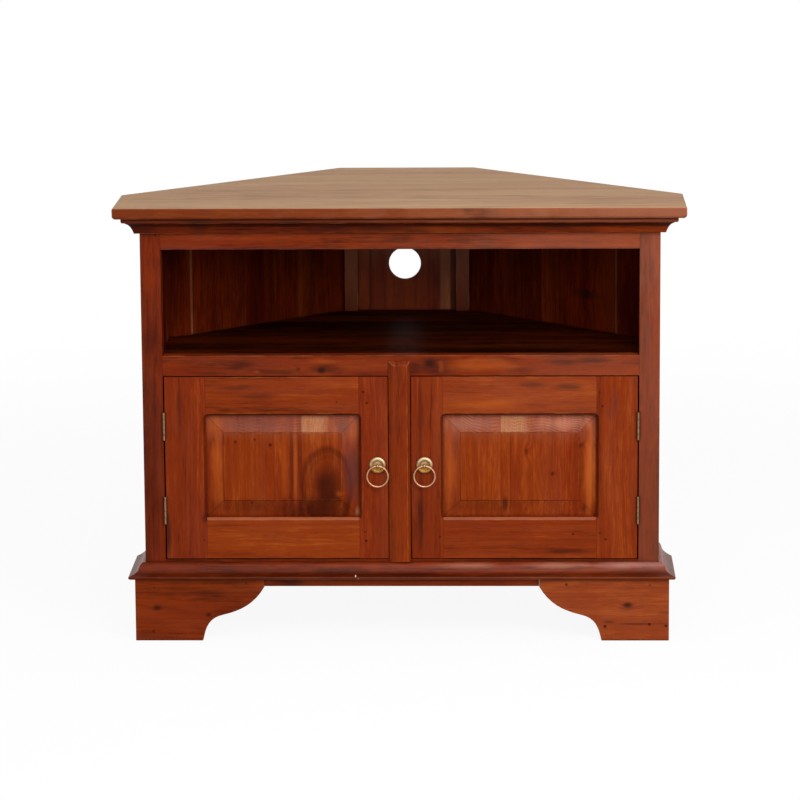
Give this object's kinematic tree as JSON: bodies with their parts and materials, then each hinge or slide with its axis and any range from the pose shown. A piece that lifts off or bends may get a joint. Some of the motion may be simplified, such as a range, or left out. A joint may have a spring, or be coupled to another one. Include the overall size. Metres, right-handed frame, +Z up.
{
  "type": "corner tv cabinet",
  "caption": "Six-sided wooden cabinet for a room corner: a broad top, an open bay with a cable hole, and a cupboard with hinged doors and ring pulls on bracket feet.",
  "frame": {"origin": "centre of the bounding box, on the floor", "axes": "+X to the right across the front, +Y to the back, towards the room's corner, +Z up; the doors face -Y"},
  "size_m": [1, 0.55, 0.78],
  "materials": {
    "mahogany": "gloss lacquer over red-brown stain",
    "mahogany_light": "gloss lacquer over orange-brown stain",
    "mahogany_dark": "satin lacquer over dark red-brown stain",
    "mahogany_top": "gloss lacquer over red-brown stain, on wide boards",
    "brass": "polished, pale"
  },
  "bodies": {
    "carcass": {"top_board": "mahogany_top", "cornice_front": "mahogany", "cornice_left": "mahogany", "cornice_right": "mahogany", "top_rail": "mahogany", "mid_rail": "mahogany_light", "bottom_rail": "mahogany", "front_post_left": "mahogany", "front_post_right": "mahogany", "side_top_rail_left": "mahogany", "side_top_rail_right": "mahogany", "side_bottom_rail_left": "mahogany", "side_bottom_rail_right": "mahogany", "side_panel_left": "mahogany_dark", "side_panel_right": "mahogany_dark", "rear_leg_left": "mahogany_dark", "rear_leg_right": "mahogany_dark", "diagonal_panel_left": "mahogany_dark", "diagonal_panel_right": "mahogany_dark", "corner_batten_left": "mahogany_dark", "corner_batten_right": "mahogany_dark", "back_panel": "mahogany_dark", "bay_shelf": "mahogany", "bottom_board": "mahogany_dark", "centre_post": "mahogany", "centre_strip": "mahogany", "base_moulding_front": "mahogany", "base_moulding_left": "mahogany", "base_moulding_right": "mahogany", "apron_front": "mahogany_light", "front_foot_left": "mahogany", "front_foot_right": "mahogany", "side_foot_left": "mahogany", "side_foot_right": "mahogany", "back_foot_left": "mahogany_dark", "back_foot_right": "mahogany_dark", "left_upper_hinge_post_leaf": "brass", "left_lower_hinge_post_leaf": "brass", "right_upper_hinge_post_leaf": "brass", "right_lower_hinge_post_leaf": "brass"},
    "left_door": {"left_door_hinge_stile": "mahogany", "left_door_meeting_stile": "mahogany", "left_door_top_rail": "mahogany", "left_door_bottom_rail": "mahogany", "left_door_panel": "mahogany_light", "left_door_catch": "brass", "left_upper_hinge_door_leaf": "brass", "left_lower_hinge_door_leaf": "brass", "left_pull_rosette": "brass"},
    "right_door": {"right_door_hinge_stile": "mahogany", "right_door_meeting_stile": "mahogany", "right_door_top_rail": "mahogany", "right_door_bottom_rail": "mahogany", "right_door_panel": "mahogany_light", "right_door_catch": "brass", "right_upper_hinge_door_leaf": "brass", "right_lower_hinge_door_leaf": "brass", "right_pull_rosette": "brass"},
    "left_ring": {"left_pull_ring": "brass"},
    "right_ring": {"right_pull_ring": "brass"}
  },
  "joints": [
    {"name": "left_door_hinge", "type": "hinge", "parent": "carcass", "child": "left_door", "pos_m": [-0.4187, -0.2344, 0.31], "axis": [0, 0, -1], "range_deg": [0, 170]},
    {"name": "right_door_hinge", "type": "hinge", "parent": "carcass", "child": "right_door", "pos_m": [0.4187, -0.2344, 0.31], "axis": [0, 0, 1], "range_deg": [0, 170]},
    {"name": "left_ring_pivot", "type": "hinge", "parent": "left_door", "child": "left_ring", "pos_m": [-0.0415, -0.2403, 0.315], "axis": [-1, 0, 0], "range_deg": [-8, 170]},
    {"name": "right_ring_pivot", "type": "hinge", "parent": "right_door", "child": "right_ring", "pos_m": [0.0415, -0.2403, 0.315], "axis": [-1, 0, 0], "range_deg": [-8, 170]}
  ]
}
